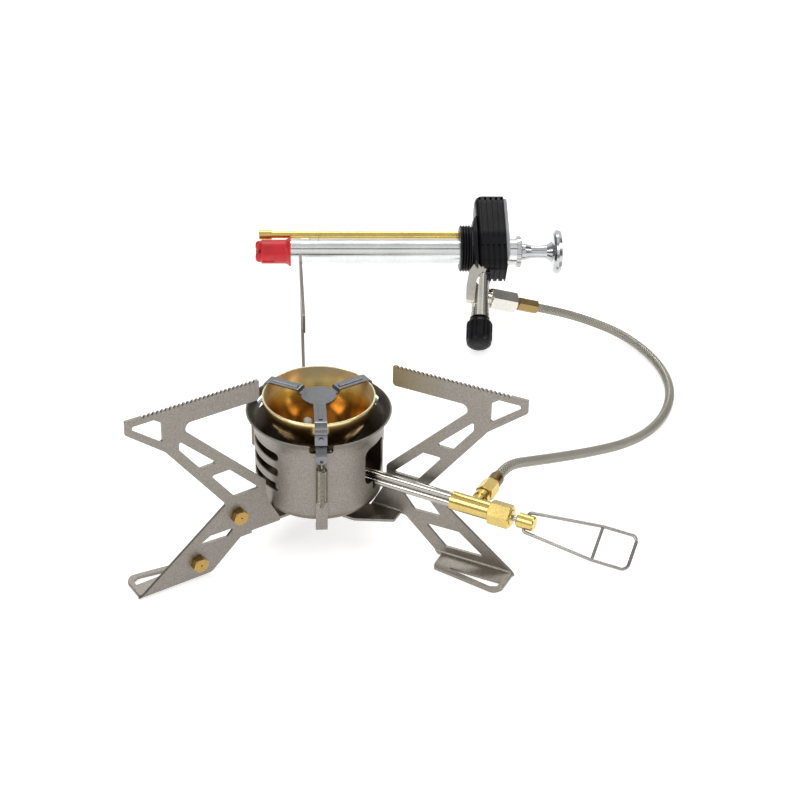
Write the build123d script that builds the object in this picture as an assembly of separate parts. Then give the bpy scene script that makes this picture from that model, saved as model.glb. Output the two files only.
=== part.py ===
from build123d import *
import os
from math import cos, degrees, pi, radians, sin, sqrt, tan

os.makedirs("parts", exist_ok=True)

# All lengths are in millimetres. Z = 0 is the surface that the stove stands on, and the
# burner's own axis is the Z axis until the last step, which moves everything so that the
# middle of the object's footprint is at the origin.

# ---- driving dimensions: burner and legs ----
SHEET = 1.6                  # leg and pot support sheet
GAP = 0.1                    # clearance between sheets that slide on each other
LEG_AZIMUTH = {"left": 215.2, "right": -24.8, "rear": 95.2}
LEG_FACE = 7.4               # outer face of a leg's web, measured sideways from the burner axis
TOP_Z = 110.0                # pot support height
TIP_R = 115.0                # reach of a pot support
BEND_R = 3.0                 # outer radius of the bends in the leg sheet
TOOTH_PITCH = 2.37
TOOTH_DEPTH = 1.2
TOOTH_COUNT = 27
FLANGE_Z = {"left": 17.2, "right": 18.9, "rear": 20.6}   # the three feet plates stack on the hub bolt
PIVOT_HOLE_R = 2.55
PIVOT_BOLT_R = 2.5

CUP_R = 34.6
CUP_WALL = 0.8
CUP_BASE_Z = 24.4
CUP_CORNER_R = 8.0
CUP_RIM_R = 38.9
CUP_RIM_Z = 76.0
CUP_FLARE_Z = 66.5
STRAP_SLOT_Z = 70.7           # the slots that the two rear straps pass through
BOWL_R = 30.1
BOWL_WALL = 0.9
BOWL_RIM_Z = 84.2
BOWL_THROAT_R = 9.6
BOWL_HOLE_AZIMUTH = 117.0
BOWL_HOLE_ANGLE = 31.0       # from straight down, about the bowl's centre
BLOCK_R = 8.0                # jet block
CUP_FLOOR = CUP_BASE_Z + CUP_WALL
BOLT_TOP = CUP_FLOOR + 6.0
LOOP_R = 19.0                # vaporiser loop
LOOP_Z = 36.0
CLIP_AZIMUTHS = {"front": -84.8, "right": 35.2, "left": 155.2}
CLIP_WIDTH = 6.2
CLIP_SHEET = 0.6
SPREADER_DISC_R = 9.2
SPREADER_DISC_Z = 84.1
SPREADER_ARM_Z = 85.4
SPRING_R = 3.05
SPRING_WIRE_R = 0.35

# ---- driving dimensions: fuel tubes and flame valve ----
VALVE_AZIMUTH = -25.6
VALVE_Z = 42.8
TUBE_R = 2.15
TUBE_PITCH = 4.5             # the two fuel tubes lie one above the other
VALVE_BODY_R = 4.9
VALVE_START = 79.5           # distances along the valve axis from the burner axis
VALVE_END = 101.2
PACKING_NUT_AF = 11.6
PACKING_NUT_END = 113.4
SPINDLE_R = 1.5
HUB_START = 116.8
HUB_END = 126.2
HUB_R = 4.0
NIPPLE_AT = 92.2
NIPPLE_HEX_START = 12.5
NIPPLE_HEX_END = 22.5
NIPPLE_HEX_AF = 9.0
FERRULE_END = 31.5
FERRULE_R = 4.0
HANDLE_WIRE_R = 0.9
HANDLE_PIN_AT = 121.5
HANDLE_END = 179.2
HANDLE_HALF_WIDTH = 9.2
HANDLE_BAR_AT = 160.5
HANDLE_TILT = 40.0           # the handle's own plane, turned about the valve axis

# ---- driving dimensions: pump ----
PUMP_YAW = 3.2
HEAD_DIP = 30.7              # the head points down from level by this angle
PUMP_X = 95.8
PUMP_Y = 254.2
BARREL_R = 8.7
BARREL_START = -128.7
BARREL_END = 13.6
BARREL_BORE_R = 7.8
CAP_START = -148.6
CAP_END = -128.7
SPIGOT_END = -123.0          # the cap's spigot reaches this far into the barrel
VALVE_SEAT = -137.0
SPRING_SEAT = -125.4
CHAMBER_R = 5.2
PIPE_OFFSET = -13.4
PIPE_R = 2.45
PLUG_START = -15.4
PLUG_END = -8.0
PLUG_R = 15.6
PLUG_CENTRE = -2.6
NECK_R = 13.6
SHOULDER_START = -6.8
HEAD_START = -4.0
HEAD_END = 15.4
HEAD_TOP = -41.2
STEM_R = 6.2
STEM_START = 14.0
KNOB_START = 54.6
KNOB_END = 73.6
KNOB_R = 8.6
OUTLET_AT = 35.3
STEM_LEAN = 4.5              # the valve's stem leans this far towards the bottle
OUTLET_X = -OUTLET_AT * sin(radians(STEM_LEAN))
OUTLET_Y = OUTLET_AT * cos(radians(STEM_LEAN))
OUTLET_TURN = 20.0           # the outlet leans this far from the barrel's direction
OUTLET_HEX_AF = 13.0
OUTLET_HEX_START = 6.4
OUTLET_HEX_END = 25.4
PUMP_FERRULE_END = 41.6
COLLAR_R = 9.1
COLLAR_START = HEAD_END + 2.4
COLLAR_END = 22.8
ROD_R = 2.7
PISTON_AT = -115.0
DISC_R = 15.0
PLUNGER_END = 54.6

HOSE_R = 3.0
PUMP_Z = KNOB_END * sin(radians(HEAD_DIP)) + KNOB_R * cos(radians(HEAD_DIP)) + 0.15

# ---- helpers ----


def outline(points, radii, plane=Plane.XY):
    """A closed face on a plane from corner points and one corner radius each."""
    return plane * make_face(FilletPolyline(*points, radius=radii, close=True))


def upright_face(edges):
    """A closed face from edges drawn in (radius, height)."""
    return make_face([Plane.XZ * edge for edge in edges])


def hexagon(across_flats, turn=0.0):
    return Rot(0, 0, turn) * RegularPolygon(across_flats / sqrt(3), 6)


def turned(points, plane=Plane.XZ):
    """A solid of revolution about Z from (radius, height) points."""
    return revolve(make_face(plane * Polyline(*points, close=True)), axis=Axis.Z)


def rod(radius, start, end, bore=0.0):
    """A round bar or tube along Z."""
    bar = Pos(0, 0, start) * Cylinder(
        radius, end - start, align=(Align.CENTER, Align.CENTER, Align.MIN)
    )
    if bore > 0:
        bar -= Pos(0, 0, start) * Cylinder(
            bore, end - start, align=(Align.CENTER, Align.CENTER, Align.MIN)
        )
    return bar


def hex_bar(across_flats, start, end, turn=0.0, chamfer_r=None):
    """A hexagonal bar along Z, its corners turned off at both ends."""
    bar = Pos(0, 0, start) * extrude(hexagon(across_flats, turn), end - start)
    corner = across_flats / sqrt(3)
    drop = 0.12 * across_flats if chamfer_r is None else chamfer_r
    envelope = turned([(0, start), (corner - drop, start), (corner, start + drop * 0.6),
                       (corner, end - drop * 0.6), (corner - drop, end), (0, end)])
    return bar & envelope


def around(azimuth):
    return Rot(0, 0, azimuth)


# the valve frame: Z runs out along the valve axis, X is up
VALVE_FRAME = around(VALVE_AZIMUTH) * Pos(0, 0, VALVE_Z) * Rot(0, 90, 0) * Rot(0, 0, 180)
# the nipple frame: Z runs out of the side of the valve body, level and square to it
NIPPLE_FRAME = around(VALVE_AZIMUTH) * Pos(NIPPLE_AT, 0, VALVE_Z) * Rot(-90, 0, 0)
# the pump frame: X runs along the barrel towards the plunger, Y towards the valve knob
PUMP_PLANE = Plane(
    origin=(PUMP_X, PUMP_Y, PUMP_Z),
    x_dir=Vector(1, 0, 0).rotate(Axis.Z, PUMP_YAW),
    z_dir=Vector(0, sin(radians(HEAD_DIP)), -cos(radians(HEAD_DIP))).rotate(Axis.Z, PUMP_YAW),
)
ALONG_X = Rot(0, 90, 0)      # turns a part made along Z to lie along +X
ALONG_Y = Rot(-90, 0, 0)     # turns a part made along Z to lie along +Y

# ---- legs ----
FOOT_END = 113.6
BEND_START = 29.4            # the hub flange is flat inside this reach
WEB_OUT = {"left": 54.0, "right": 49.8, "rear": 49.8}     # outer end of the web's bottom edge
HEEL = {"left": 76.0, "right": 72.6, "rear": 72.6}        # inner end of the foot
JET_SPOTS = [(54.6, 31.7), (79.4, 10.8)]                  # threaded holes for the spare jets
JET_THREAD_R = 2.5
JET_HEX_AF = 8.0


def leg_outline(name):
    """Side view of a leg, as (reach, height) corners with their radii."""
    base = FLANGE_Z[name]
    corners = [((TIP_R + 0.2, 102.4), 0.8), ((TIP_R, TOP_Z), 0.5), ((105.6, TOP_Z), 0)]
    for i in range(TOOTH_COUNT):
        at = 105.6 - i * TOOTH_PITCH
        corners += [
            ((at - 0.55, TOP_Z - TOOTH_DEPTH), 0), ((at - 1.5, TOP_Z), 0), (
                (at - TOOTH_PITCH, TOP_Z), 0
            )
        ]
    corners += [((40.2, TOP_Z), 0.8), ((40.2, 98.4), 2.2), ((87.4, 98.3), 3.4), ((37.7, 47.9), 1.5)]
    corners += [((37.7, 40.3), 2.0), ((36.0, 33.4), 0), ((29.4, 20.8), 0), ((29.4, base), 0)]
    corners += [((WEB_OUT[name], base), 1.0), ((HEEL[name] - 2.4, 0), 0), ((FOOT_END + 1.6, 0), 0)]
    corners += [((61.6, 41.2), 1.0), ((94.6, 85.6), 3.0)]
    return corners


def leg_windows(name):
    """Cut-outs that lighten a leg, largest first."""
    tip = [(95.4, 103.0), (99.6, 106.0), (111.4, 106.0), (111.4, 103.8), (96.4, 92.0), (95.4, 92.8)]
    upper = [(86.7, 89.2), (86.7, 83.8), (75.5, 68.8), (66.0, 69.0)]
    middle = [(58.9, 62.1), (69.6, 62.0), (56.5, 44.4), (41.6, 44.6)]
    below = [(44.6, 36.6), (60.4, 36.6), (71.0, 24.6), (54.8, 24.2)]
    foot = [(61.5, 17.6), (81.4, 18.0), (96.6, 6.4), (74.0, 5.8)]
    slit = [(57.2, 24.8), (71.6, 25.0), (79.2, 21.2), (61.6, 20.4)]
    lower = [slit] if name == "left" else [below, foot]
    return [(tip, 0.9), (upper, 0.8), (middle, 0.8)] + [(shape, 0.7) for shape in lower]


def side_plane(y):
    """The plane of a leg's web: local X is reach, local Y is height, and it extrudes towards -Y."""
    return Plane(origin=(0, y, 0), x_dir=(1, 0, 0), z_dir=(0, -1, 0))


def bent_sheet(start, end, floor, width):
    """An L of sheet: the web stands on its bend, and the flange runs towards -Y."""
    rise = TOP_Z + 1 - floor
    section = FilletPolyline(
        (LEG_FACE, floor + rise), (LEG_FACE, floor), (LEG_FACE - width, floor), radius=[BEND_R]
    )
    inner_face = LEG_FACE - SHEET
    inner = FilletPolyline((LEG_FACE - width, floor + SHEET), (inner_face, floor + SHEET), (inner_face, floor + rise),
                           radius=[BEND_R - SHEET])
    ends = [Line((LEG_FACE - width, floor), (LEG_FACE - width, floor + SHEET)),
            Line((inner_face, floor + rise), (LEG_FACE, floor + rise))]
    profile = make_face([*section.edges(), *inner.edges(), *[e for line in ends for e in line.edges()]])
    plane = Plane(origin=(start, 0, 0), x_dir=(0, 1, 0), z_dir=(1, 0, 0))
    return extrude(plane * profile, end - start)


def leg(name):
    """One leg, cut and bent from a single sheet: pot support, truss, foot loop and hub flange."""
    base = FLANGE_Z[name]
    corners = leg_outline(name)
    split = 47.0
    side = extrude(outline([c for c, _ in corners], [r for _, r in corners], side_plane(20)), 60)
    foot_plan = [(20, 12), (130, 12), (130, 7), (FOOT_END, 6), (FOOT_END - 0.3, -9.0), (FOOT_END - 3.5, -13.0),
                 (105.0, -12.4), (HEEL[name] + 1.0, -8.2), (HEEL[name], -5.0), (
                     HEEL[name], LEG_FACE - SHEET - 0.8
                 ),
                 (20, LEG_FACE - SHEET - 0.8)]
    foot_radii = [0, 0, 0, 2, 4, 4, 3, 1.5, 1.5, 1.0, 0]
    foot_slot = outline(
        [(HEEL[name] + 3.2, -4.9), (110.6, -4.0), (110.3, -8.2), (106.8, -9.8)], [0.6, 0.8, 1.6, 1.6]
    )
    foot = bent_sheet(split, 130, 0, 25) & Pos(0, 0, -1) * extrude(outline(foot_plan, foot_radii), 130)
    foot -= Pos(0, 0, -1) * extrude(foot_slot, 4)
    inner = BEND_START
    tab_plan = [(-4.0, 9.2), (-9.6, 3.0), (-9.6, -3.5), (-3.0, -10.0), (27.0, -11.8), (inner, -10.9),
                (inner, LEG_FACE - BEND_R), (20.0, LEG_FACE - BEND_R)]
    tab = Pos(0, 0, base) * extrude(outline(tab_plan, [3, 3, 3, 3, 5, 0, 0, 5]), SHEET)
    bend_plan = [(inner, -10.9), (split + 0.1, -2.8), (split + 0.1, 12), (inner, 12)]
    bend = bent_sheet(inner, split, base, 25) & Pos(0, 0, -1) * extrude(
        outline(bend_plan, [0, 0, 0, 0]), 130
    )
    body = (foot + bend) & side
    body += tab
    for shape, radius in leg_windows(name):
        body -= extrude(outline(shape, [radius] * len(shape), side_plane(20)), 60)
    body -= rod(PIVOT_HOLE_R, base - 5, base + 5)
    if name == "left":
        for reach, height in JET_SPOTS:
            body -= Pos(reach, 0, height) * ALONG_Y * rod(JET_THREAD_R, -20, 20)
    return around(LEG_AZIMUTH[name]) * body


def spare_jet(reach, height):
    """A brass jet screwed into the leg for storage: hex head, thread and a fine nozzle."""
    head = hex_bar(JET_HEX_AF, 0, 3.6, 11)
    shank = rod(JET_THREAD_R, -SHEET - 2.2, 0) + rod(1.6, -SHEET - 3.4, -SHEET - 2.2)
    nozzle = rod(0.45, 1.0, 3.6)
    jet = head + shank - nozzle
    return around(LEG_AZIMUTH["left"]) * Pos(reach, LEG_FACE, height) * ALONG_Y * jet


# ---- burner ----


def cup_profile():
    """Half section of the burner cup, drawn in (radius, height)."""
    foot_r = CUP_R - CUP_CORNER_R
    outer = [Line((0, CUP_BASE_Z), (foot_r, CUP_BASE_Z)),
             ThreePointArc((foot_r, CUP_BASE_Z),
                           (
                               foot_r + CUP_CORNER_R * sin(pi / 4), CUP_BASE_Z + CUP_CORNER_R * (
                                   1 - cos(pi / 4)
                               )
                           ),
                           (CUP_R, CUP_BASE_Z + CUP_CORNER_R)),
             Line((CUP_R, CUP_BASE_Z + CUP_CORNER_R), (CUP_R, CUP_FLARE_Z)),
             ThreePointArc((CUP_R, CUP_FLARE_Z), (CUP_R + 1.35, CUP_FLARE_Z + 5.2), (CUP_RIM_R, CUP_RIM_Z))]
    inner_r = CUP_R - CUP_WALL
    bend = CUP_CORNER_R - CUP_WALL
    inner = [Line((CUP_RIM_R, CUP_RIM_Z), (CUP_RIM_R - CUP_WALL, CUP_RIM_Z + 0.4)),
             ThreePointArc((CUP_RIM_R - CUP_WALL, CUP_RIM_Z + 0.4), (CUP_R + 0.55, CUP_FLARE_Z + 5.5),
                           (inner_r, CUP_FLARE_Z)),
             Line((inner_r, CUP_FLARE_Z), (inner_r, CUP_BASE_Z + CUP_CORNER_R)),
             ThreePointArc((inner_r, CUP_BASE_Z + CUP_CORNER_R),
                           (
                               foot_r + bend * sin(pi / 4), CUP_BASE_Z + CUP_WALL + bend * (
                                   1 - cos(pi / 4)
                               )
                           ),
                           (foot_r, CUP_BASE_Z + CUP_WALL)),
             Line((foot_r, CUP_BASE_Z + CUP_WALL), (0, CUP_BASE_Z + CUP_WALL)),
             Line((0, CUP_BASE_Z + CUP_WALL), (0, CUP_BASE_Z))]
    return upright_face([*outer, *inner])


def wall_slot(low, high, z_low, z_high, corner):
    """A cutter for an opening in the cup's wall between two azimuths and two heights."""
    ring = Rectangle(12, z_high - z_low)
    section = Plane.XZ * Pos(CUP_R, (z_low + z_high) / 2) * ring
    sector = revolve(section, axis=Axis.Z, revolution_arc=high - low)
    cutter = around(low) * sector
    edges = [e for e in cutter.edges() if e.geom_type == GeomType.LINE and abs(e.length - 12) < 0.01]
    return fillet(edges, corner)


def burner_cup():
    cup = revolve(cup_profile(), axis=Axis.Z)
    for leg_azimuth in (LEG_AZIMUTH["left"], LEG_AZIMUTH["rear"]):
        for z in (43.2, 52.6, 62.0):
            cup -= wall_slot(leg_azimuth - 22, leg_azimuth + 20, z - 2.6, z + 2.6, 2.55)
    cup -= wall_slot(VALVE_AZIMUTH - 16.5, VALVE_AZIMUTH + 16.5, 42.0, 64.6, 4.5)
    cup -= wall_slot(VALVE_AZIMUTH - 5.5, VALVE_AZIMUTH + 5.5, 36.8, 44.0, 1.5)
    for side, azimuth in CLIP_AZIMUTHS.items():
        if side == "front":
            opening = Pos(CUP_R + 3, 0, CUP_RIM_Z + 3) * Box(10, 12.4, 18)
            opening = fillet(opening.edges().filter_by(Axis.X).sort_by(Axis.Z)[:2], 1.6)
        else:
            opening = Pos(CUP_R + 3, 0, STRAP_SLOT_Z) * Box(10, 9.0, 5.2)
            opening = fillet(opening.edges().filter_by(Axis.X), 1.2)
        cup -= around(azimuth) * opening
    return cup - rod(PIVOT_BOLT_R, 20, 30)


def flame_bowl():
    """The spun brass bowl: half a sphere with a rolled rim and a throat at the bottom."""
    def edge(radius):
        drop = sqrt(radius ** 2 - BOWL_THROAT_R ** 2)
        mid = radius * sin(radians(52)), BOWL_RIM_Z - radius * cos(radians(52))
        return (radius, BOWL_RIM_Z), mid, (BOWL_THROAT_R, BOWL_RIM_Z - drop)
    outer, inner = edge(BOWL_R), edge(BOWL_R - BOWL_WALL)
    profile = [
        ThreePointArc(*outer), Line(outer[2], inner[2]), ThreePointArc(*inner), Line(inner[0], outer[0])
    ]
    bowl = revolve(upright_face(profile), axis=Axis.Z)
    bead = Pos(BOWL_R - 0.5, BOWL_RIM_Z) * Circle(0.45)
    bowl += revolve(Plane.XZ * bead, axis=Axis.Z)
    hole = around(BOWL_HOLE_AZIMUTH) * Pos(0, 0, BOWL_RIM_Z) * Rot(0, 180 - BOWL_HOLE_ANGLE, 0) * rod(
        2.6, 20, 40
    )
    return bowl - hole


def strap_path(points, width, thickness, corner):
    """A strap bent from flat strip: its centreline in (radius, height), swept across its width."""
    line = FilletPolyline(*points, radius=corner)
    band = offset(line, amount=thickness / 2, side=Side.BOTH)
    face = make_face(band.edges())
    return Pos(0, width / 2, 0) * extrude(Plane.XZ * face, width)


ARM_PATH = [(7.0, SPREADER_DISC_Z - 0.4), (10.4, SPREADER_DISC_Z - 0.4), (11.2, SPREADER_ARM_Z),
            (31.3, SPREADER_ARM_Z), (32.3, 73.4)]
STRAP_PATH = [(31.1, 78.0), (31.6, 72.8), (36.9, 70.2), (37.8, 65.2)]
HOOK_PATH = [(38.0, 41.2), (38.0, 27.6), (36.4, 22.7), (32.9, 22.7), (32.3, 24.0)]
RIVET_Z = 76.3
CRIMPS = [(31.75, 81.6), (32.0, 79.0)]
STRAP_HOLE_Z = 66.7
HOOK_HOLE_Z = 39.1
SPRING_TOP = 62.0
SPRING_FOOT = 42.5


def flame_spreader():
    """The centre disc and its three arms, which step up and turn down over the bowl's rim."""
    plate = Pos(0, 0, SPREADER_DISC_Z - 0.8) * Cylinder(
        SPREADER_DISC_R, 0.8, align=(Align.CENTER, Align.CENTER, Align.MIN)
    )
    for azimuth in CLIP_AZIMUTHS.values():
        arm = strap_path(ARM_PATH, CLIP_WIDTH + 0.3, 0.8, [0.7, 0.7, 2.3])
        for reach, z in CRIMPS:
            arm += Pos(reach, 0, z) * Rot(90, 0, 0) * Cylinder(0.75, CLIP_WIDTH + 0.3)
        rib = Pos(19.9, 0, SPREADER_ARM_Z + 0.35) * Box(14.6, 2.2, 1.1)
        rib = fillet(rib.edges().filter_by(Axis.X).group_by(Axis.Z)[-1], 0.45)
        plate += around(azimuth) * (arm + rib)
    for azimuth in CLIP_AZIMUTHS.values():
        plate -= clip_rivet(azimuth)
    return plate


def clip_strap(azimuth):
    """The spring steel strap riveted behind an arm, with a hole for the spring."""
    strap = strap_path(STRAP_PATH, CLIP_WIDTH - 0.4, CLIP_SHEET, [1.0, 1.6])
    end = Pos(37.7, 0, STRAP_HOLE_Z + 1.4) * Rot(0, 90, 0) * Cylinder(CLIP_WIDTH / 2, 6)
    strap &= Pos(37.7, 0, 100) * Box(40, 40, 2 * (100 - STRAP_HOLE_Z - 1.4)) + end
    strap -= Pos(37.7, 0, STRAP_HOLE_Z) * Rot(0, 90, 0) * Cylinder(0.9, 6)
    return around(azimuth) * strap - clip_rivet(azimuth)


def clip_rivet(azimuth):
    """The rivet that joins an arm to its strap, with a flat head on each side."""
    pin = ALONG_X * (rod(1.0, 30.6, 32.9) + rod(1.5, 30.4, 30.9) + rod(1.5, 32.5, 33.1))
    return around(azimuth) * Pos(0, 0, RIVET_Z) * pin


def end_loop(low, high):
    """A spring's end loop in the upright plane through the burner axis."""
    radius = (high - low) / 2
    return Pos(0, 0, (low + high) / 2) * Rot(90, 0, 0) * Torus(radius, SPRING_WIRE_R)


def clip_spring(azimuth):
    """The tension spring's outer shape: a closed-wound body with its two end loops."""
    body = rod(SPRING_R, SPRING_FOOT, SPRING_TOP)
    loops = end_loop(SPRING_TOP, STRAP_HOLE_Z) + end_loop(HOOK_HOLE_Z, SPRING_FOOT + 0.3)
    return around(azimuth) * Pos(38.6, 0, 0) * (body + loops)


def clip_hook(azimuth):
    """The lower strap: a hole for the spring at the top, hooked under the cup at the bottom."""
    hook = strap_path(HOOK_PATH, CLIP_WIDTH, CLIP_SHEET, [2.0, 1.2, 0.4])
    hook -= Pos(38.0, 0, HOOK_HOLE_Z) * Rot(0, 90, 0) * Cylinder(0.9, 6)
    return around(azimuth) * hook


def jet_block():
    """The brass block in the middle of the cup that both fuel tubes end in."""
    block = rod(BLOCK_R, CUP_FLOOR, 50.0)
    block = chamfer(block.edges().group_by(Axis.Z)[-1], 1.0)
    block -= VALVE_FRAME * Pos(TUBE_PITCH / 2, 0, 0) * rod(TUBE_R, 4, 12)
    block -= VALVE_FRAME * Pos(-TUBE_PITCH / 2, 0, 0) * rod(TUBE_R, 4, 12)
    return block - rod(2.5, 46.0, 51.0) - rod(PIVOT_BOLT_R, CUP_FLOOR - 1, BOLT_TOP)


def burner_jet():
    return rod(2.5, 46.0, 50.0) + hex_bar(8.0, 50.0, 53.6) - rod(0.4, 45, 55)


def mixing_tube():
    """The steel tube that leads gas and air from the jet up into the bowl."""
    throat_z = BOWL_RIM_Z - sqrt(BOWL_R ** 2 - BOWL_THROAT_R ** 2)
    tube = rod(BOWL_THROAT_R, 47.6, throat_z, BLOCK_R)
    for turn in (0, 90, 180, 270):
        tube -= Rot(0, 0, turn + 20) * Pos(BOWL_THROAT_R, 0, 53.0) * Rot(0, 90, 0) * Cylinder(1.6, 6)
    return tube


def vaporiser_loop():
    """The steel loop in which the fuel turns to gas: most of a turn around the jet block."""
    corners = [(6.0, 0), (LOOP_R, 0)] + [(LOOP_R / cos(pi / 6), a) for a in (30, 90, 150, 210, 270)]
    corners += [(LOOP_R, 300), (6.0, 300)]
    points = [(r * cos(radians(a)), r * sin(radians(a)), LOOP_Z) for r, a in corners]
    path = FilletPolyline(*points, radius=[5, 9, 9, 9, 9, 9, 5])
    loop = sweep(Plane(origin=path @ 0, z_dir=path % 0) * Circle(TUBE_R), path=path)
    return around(VALVE_AZIMUTH + 30) * (loop - rod(BLOCK_R, LOOP_Z - 5, LOOP_Z + 5))


def priming_pad():
    """The glass-fibre ring that soaks up fuel for preheating."""
    z = CUP_BASE_Z + CUP_WALL
    return rod(24.0, z, z + 4.4, 8.6)


def hub_bolt():
    """The bolt under the cup that the three leg flanges stack on."""
    head = Pos(0, 0, 14.6) * extrude(hexagon(8.0), 2.5)
    head = chamfer(head.edges().group_by(Axis.Z)[0], 0.5)
    return head + rod(PIVOT_BOLT_R, 17.1, BOLT_TOP)


def hub_spacer():
    return rod(12.0, FLANGE_Z["rear"] + SHEET, CUP_BASE_Z, PIVOT_BOLT_R)


# ---- fuel tubes and flame valve ----


def fuel_tube(side):
    """One of the two steel tubes between the jet block and the valve body."""
    return VALVE_FRAME * Pos(side * TUBE_PITCH / 2, 0, 0) * rod(
        TUBE_R, 8.0, VALVE_START + 3, TUBE_R - 0.7
    )


def valve_body():
    """The turned brass body: sockets for the tubes, a cross boss for the hose nipple."""
    body = rod(VALVE_BODY_R, VALVE_START, VALVE_END)
    for side in (-1, 1):
        body -= Pos(side * TUBE_PITCH / 2, 0, 0) * rod(TUBE_R, VALVE_START, VALVE_START + 3)
    body -= rod(2.6, VALVE_END - 8, VALVE_END)
    body -= rod(SPINDLE_R + 0.05, VALVE_START + 6, VALVE_END)
    boss = rod(3.6, 3.0, NIPPLE_HEX_START - 2) + Pos(0, 0, NIPPLE_HEX_START - 5) * rod(4.3, 0, 3)
    body = VALVE_FRAME * body + NIPPLE_FRAME * (boss - rod(1.2, 3, 20))
    return body


def packing_nut():
    """The hex nut that presses the seal onto the spindle."""
    nut = hex_bar(PACKING_NUT_AF, VALVE_END, PACKING_NUT_END, 12)
    collar = rod(4.2, PACKING_NUT_END, PACKING_NUT_END + 0.6)
    return VALVE_FRAME * (nut + collar - rod(SPINDLE_R + 0.06, VALVE_END - 1, PACKING_NUT_END + 1))


def packing_seal():
    return VALVE_FRAME * rod(2.6, VALVE_END - 6, VALVE_END, SPINDLE_R + 0.04)


def needle_spindle():
    """The steel spindle with its conical needle, turned by the handle."""
    stem = rod(SPINDLE_R, VALVE_START + 9, HUB_START + 3.5)
    needle = Pos(0, 0, VALVE_START + 7.6) * Cone(0.3, SPINDLE_R, 2.8)
    return VALVE_FRAME * (stem + needle)


def handle_hub():
    """The brass hub on the spindle's end, cross-drilled for the wire handle."""
    hub = rod(HUB_R, HUB_START, HUB_END)
    hub = chamfer(hub.edges().group_by(Axis.Z)[0], 0.5)
    hub = chamfer(hub.edges().group_by(Axis.Z)[-1], 0.6)
    hub -= rod(SPINDLE_R, HUB_START, HUB_START + 3.5)
    cross = Pos(0, 0, HANDLE_PIN_AT) * ALONG_Y * rod(HANDLE_WIRE_R + 0.08, -6, 6)
    return VALVE_FRAME * Rot(0, 0, HANDLE_TILT) * (hub - cross)


def wire_handle():
    """The bent wire handle: both ends meet in the hub's cross hole, and a bar joins the arms."""
    root = HUB_R + HANDLE_WIRE_R + 0.35
    half = HANDLE_HALF_WIDTH
    points = [(0, 0.1, HANDLE_PIN_AT), (0, root, HANDLE_PIN_AT), (0, half, HANDLE_BAR_AT), (0, half, HANDLE_END),
              (0, -half, HANDLE_END), (0, -half, HANDLE_BAR_AT), (0, -root, HANDLE_PIN_AT), (0, -0.1, HANDLE_PIN_AT)]
    path = FilletPolyline(*points, radius=[1.6, 8, 3.4, 3.4, 8, 1.6])
    start = Plane(origin=path @ 0, z_dir=path % 0)
    frame = sweep(start * Circle(HANDLE_WIRE_R), path=path)
    bar = Pos(0, 0, HANDLE_BAR_AT) * ALONG_Y * rod(HANDLE_WIRE_R - 0.05, -half, half)
    return VALVE_FRAME * Rot(0, 0, HANDLE_TILT) * (frame + bar)


def hose_nipple():
    """The brass hex nipple brazed to the valve body."""
    nipple = hex_bar(NIPPLE_HEX_AF, NIPPLE_HEX_START, NIPPLE_HEX_END, 20)
    nipple += rod(2.9, NIPPLE_HEX_START - 2, NIPPLE_HEX_START)
    return NIPPLE_FRAME * (nipple - rod(1.2, NIPPLE_HEX_START - 3, NIPPLE_HEX_END))


def hose_ferrule():
    ferrule = turned([(1.2, NIPPLE_HEX_END), (3.5, NIPPLE_HEX_END), (FERRULE_R, NIPPLE_HEX_END + 1.5),
                      (FERRULE_R, FERRULE_END - 2), (FERRULE_R - 0.6, FERRULE_END), (1.2, FERRULE_END)])
    return NIPPLE_FRAME * ferrule


# ---- hose ----
# A hand-laid route from the stove's ferrule to the pump's ferrule. It leaves level, falls to
# the ground, runs round in one loose bend and rises to the pump.
HOSE_ROUTE = [
    (105.6, 3.9, 41.1),
    (117.4, 15.5, 35.5),
    (134.1, 30.8, 28.4),
    (154.0, 49.4, 20.3),
    (174.9, 70.4, 12.1),
    (193.5, 93.9, 6.1),
    (207.6, 120.3, 3.6),
    (214.4, 147.9, 3.1),
    (212.5, 175.1, 3.1),
    (203.1, 199.6, 3.6),
    (188.5, 219.3, 4.8),
    (170.2, 232.0, 6.2),
]


def nipple_point(distance):
    side = radians(VALVE_AZIMUTH)
    x = NIPPLE_AT * cos(side) - distance * sin(side)
    y = NIPPLE_AT * sin(side) + distance * cos(side)
    return Vector(x, y, VALVE_Z)


def outlet_point(distance):
    turn = radians(OUTLET_TURN)
    local = Vector(OUTLET_X + distance * cos(turn), OUTLET_Y, distance * sin(turn))
    return PUMP_PLANE.from_local_coords(local)


def hose_points():
    return [nipple_point(FERRULE_END), nipple_point(FERRULE_END + 7.2), *[Vector(*p) for p in HOSE_ROUTE],
            outlet_point(PUMP_FERRULE_END + 18.2), outlet_point(PUMP_FERRULE_END)]


def fuel_hose():
    """The braided hose as a plain tube: straight runs joined by arcs as large as the runs allow."""
    points = hose_points()
    runs = [b - a for a, b in zip(points, points[1:])]
    radii = []
    for before, after in zip(runs, runs[1:]):
        turn = radians(before.get_angle(after))
        radii.append(0.45 * min(before.length, after.length) / tan(turn / 2))
    print("hose runs", [round(r.length, 1) for r in runs])
    print("hose turns", [round(b.get_angle(a), 1) for a, b in zip(runs, runs[1:])])
    print("hose radii", [round(r, 1) for r in radii])
    path = FilletPolyline(*points, radius=radii)
    hose = sweep(Plane(origin=path @ 0, z_dir=path % 0) * Circle(HOSE_R), path=path)
    print("hose length", round(path.length, 1), "volume", round(hose.volume, 1),
          "section x length", round(pi * HOSE_R ** 2 * path.length, 1))
    return hose


# ---- pump ----


def on_pump(shape):
    return PUMP_PLANE.location * shape


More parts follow.
